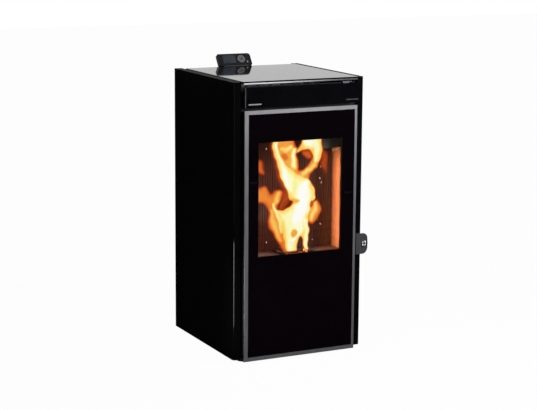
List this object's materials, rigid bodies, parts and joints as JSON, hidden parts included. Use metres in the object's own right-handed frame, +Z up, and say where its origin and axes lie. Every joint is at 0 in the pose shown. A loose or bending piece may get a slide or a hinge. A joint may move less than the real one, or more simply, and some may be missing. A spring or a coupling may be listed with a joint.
{
  "type": "pellet stove",
  "caption": "Upright pellet stove with a full-height glazed door, glass lid over the pellet hopper, tilted control panel, burn pot, feed screw, fans, flue outlet and air inlet.",
  "frame": {"origin": "middle of the whole stove's bounding box, on the floor", "axes": "+Z up, +Y from the door towards the wall behind, +X to the right of someone facing the door"},
  "size_m": [0.4318, 0.479, 0.8493],
  "materials": {
    "black_gloss_paint": "gloss black powder coat",
    "black_matt_paint": "matt black heat-resistant paint",
    "zinc_sheet": "galvanised sheet",
    "satin_silver": "satin silver lacquer",
    "grey_steel": "heat-tinted grey steel",
    "latch_steel": "dark satin steel",
    "bright_steel": "bright plated steel",
    "cast_iron": "bare cast iron",
    "fire_brick": "ribbed fire-brick slab, heat browned",
    "black_glass": "back-printed black glass",
    "door_glass": "ceramic glass with a black printed border",
    "rope_gasket": "braided glass-fibre rope",
    "seal_strip": "soft black strip",
    "black_plastic": "gloss black plastic",
    "matt_plastic": "matt black plastic",
    "display": "unlit liquid-crystal window",
    "key_grey": "light grey keys",
    "board_green": "circuit board",
    "motor_steel": "motor case, dark grey"
  },
  "bodies": {
    "stove": {"base_plate": "zinc_sheet", "levelling_feet": "matt_plastic", "chassis_sides": "zinc_sheet", "front_plate": "black_matt_paint", "rear_panel": "black_matt_paint", "rear_rail": "black_gloss_paint", "side_panel_left": "black_gloss_paint", "side_panel_right": "black_gloss_paint", "fascia_glass": "black_glass", "fascia_clips": "satin_silver", "lid_hinge_brackets": "zinc_sheet", "lid_seal": "seal_strip", "lid_switch": "bright_steel", "hinge_brackets": "zinc_sheet", "latch_keeper": "zinc_sheet", "firebox": "black_matt_paint", "liner_back": "fire_brick", "liner_sides": "fire_brick", "baffle": "grey_steel", "smoke_collector": "grey_steel", "pot_shelf": "grey_steel", "ash_drawer": "grey_steel", "igniter": "grey_steel", "exchanger_fins": "grey_steel", "exhaust_duct": "zinc_sheet", "exhaust_fan_housing": "zinc_sheet", "exhaust_motor": "motor_steel", "flue_spigot": "black_matt_paint", "air_intake": "black_matt_paint", "blower_housing": "zinc_sheet", "blower_motor": "motor_steel", "hopper": "zinc_sheet", "hopper_grid": "bright_steel", "auger_tube": "grey_steel", "auger_gearmotor": "motor_steel", "feed_chute": "grey_steel", "main_board": "board_green", "power_inlet": "matt_plastic", "control_housing": "black_plastic", "display_window": "display"},
    "door": {"door_trim": "satin_silver", "door_glass": "door_glass", "door_frame": "black_matt_paint", "door_gasket": "rope_gasket"},
    "latch": {"latch_lever": "latch_steel", "latch_socket": "bright_steel"},
    "lid": {"lid_glass": "black_glass", "lid_frame": "grey_steel", "lid_hinge_leaves": "zinc_sheet"},
    "auger": {"auger_screw": "grey_steel"},
    "smoke_fan": {"exhaust_impeller": "grey_steel"},
    "room_fan": {"blower_rotor": "matt_plastic"},
    "pot": {"burn_pot": "cast_iron"},
    "rocker": {"rocker_switch": "matt_plastic"},
    "key_right_cap": {"key_right": "key_grey"},
    "key_up_cap": {"key_up": "key_grey"},
    "key_left_cap": {"key_left": "key_grey"},
    "key_down_cap": {"key_down": "key_grey"},
    "key_ok_cap": {"key_ok": "key_grey"},
    "key_power_cap": {"key_power": "key_grey"}
  },
  "joints": [
    {"name": "door_hinge", "type": "hinge", "parent": "stove", "child": "door", "pos_m": [-0.18039, -0.226, 0.375], "axis": [0, 0, -1], "range_deg": [0, 100]},
    {"name": "latch_turn", "type": "hinge", "parent": "door", "child": "latch", "pos_m": [0.16111, -0.2225, 0.3255], "axis": [0, 0, -1], "range_deg": [0, 22]},
    {"name": "lid_hinge", "type": "hinge", "parent": "stove", "child": "lid", "pos_m": [-0.00989, 0.1685, 0.8045], "axis": [-1, 0, 0], "range_deg": [0, 75]},
    {"name": "auger_spin", "type": "hinge", "parent": "stove", "child": "auger", "pos_m": [0.01011, 0.061, 0.335], "axis": [0, -0.5, 0.866], "continuous": true},
    {"name": "smoke_fan_spin", "type": "hinge", "parent": "stove", "child": "smoke_fan", "pos_m": [0.08211, 0.0535, 0.15], "axis": [1, 0, 0], "continuous": true},
    {"name": "room_fan_spin", "type": "hinge", "parent": "stove", "child": "room_fan", "pos_m": [-0.17989, 0.1355, 0.09], "axis": [1, 0, 0], "continuous": true},
    {"name": "pot_lift", "type": "slide", "parent": "stove", "child": "pot", "axis": [0, 0, 1], "range_m": [0, 0.08]},
    {"name": "rocker_tilt", "type": "hinge", "parent": "stove", "child": "rocker", "pos_m": [-0.14989, 0.1915, 0.234], "axis": [1, 0, 0], "range_deg": [-8, 8]},
    {"name": "key_right_press", "type": "slide", "parent": "stove", "child": "key_right_cap", "axis": [0, 0.8251, -0.565], "range_m": [0, 0.0008], "stiffness_N_per_m": 400},
    {"name": "key_up_press", "type": "slide", "parent": "stove", "child": "key_up_cap", "axis": [0, 0.8251, -0.565], "range_m": [0, 0.0008], "stiffness_N_per_m": 400},
    {"name": "key_left_press", "type": "slide", "parent": "stove", "child": "key_left_cap", "axis": [0, 0.8251, -0.565], "range_m": [0, 0.0008], "stiffness_N_per_m": 400},
    {"name": "key_down_press", "type": "slide", "parent": "stove", "child": "key_down_cap", "axis": [0, 0.8251, -0.565], "range_m": [0, 0.0008], "stiffness_N_per_m": 400},
    {"name": "key_ok_press", "type": "slide", "parent": "stove", "child": "key_ok_cap", "axis": [0, 0.8251, -0.565], "range_m": [0, 0.0008], "stiffness_N_per_m": 400},
    {"name": "key_power_press", "type": "slide", "parent": "stove", "child": "key_power_cap", "axis": [0, 0.8251, -0.565], "range_m": [0, 0.0008], "stiffness_N_per_m": 400}
  ]
}
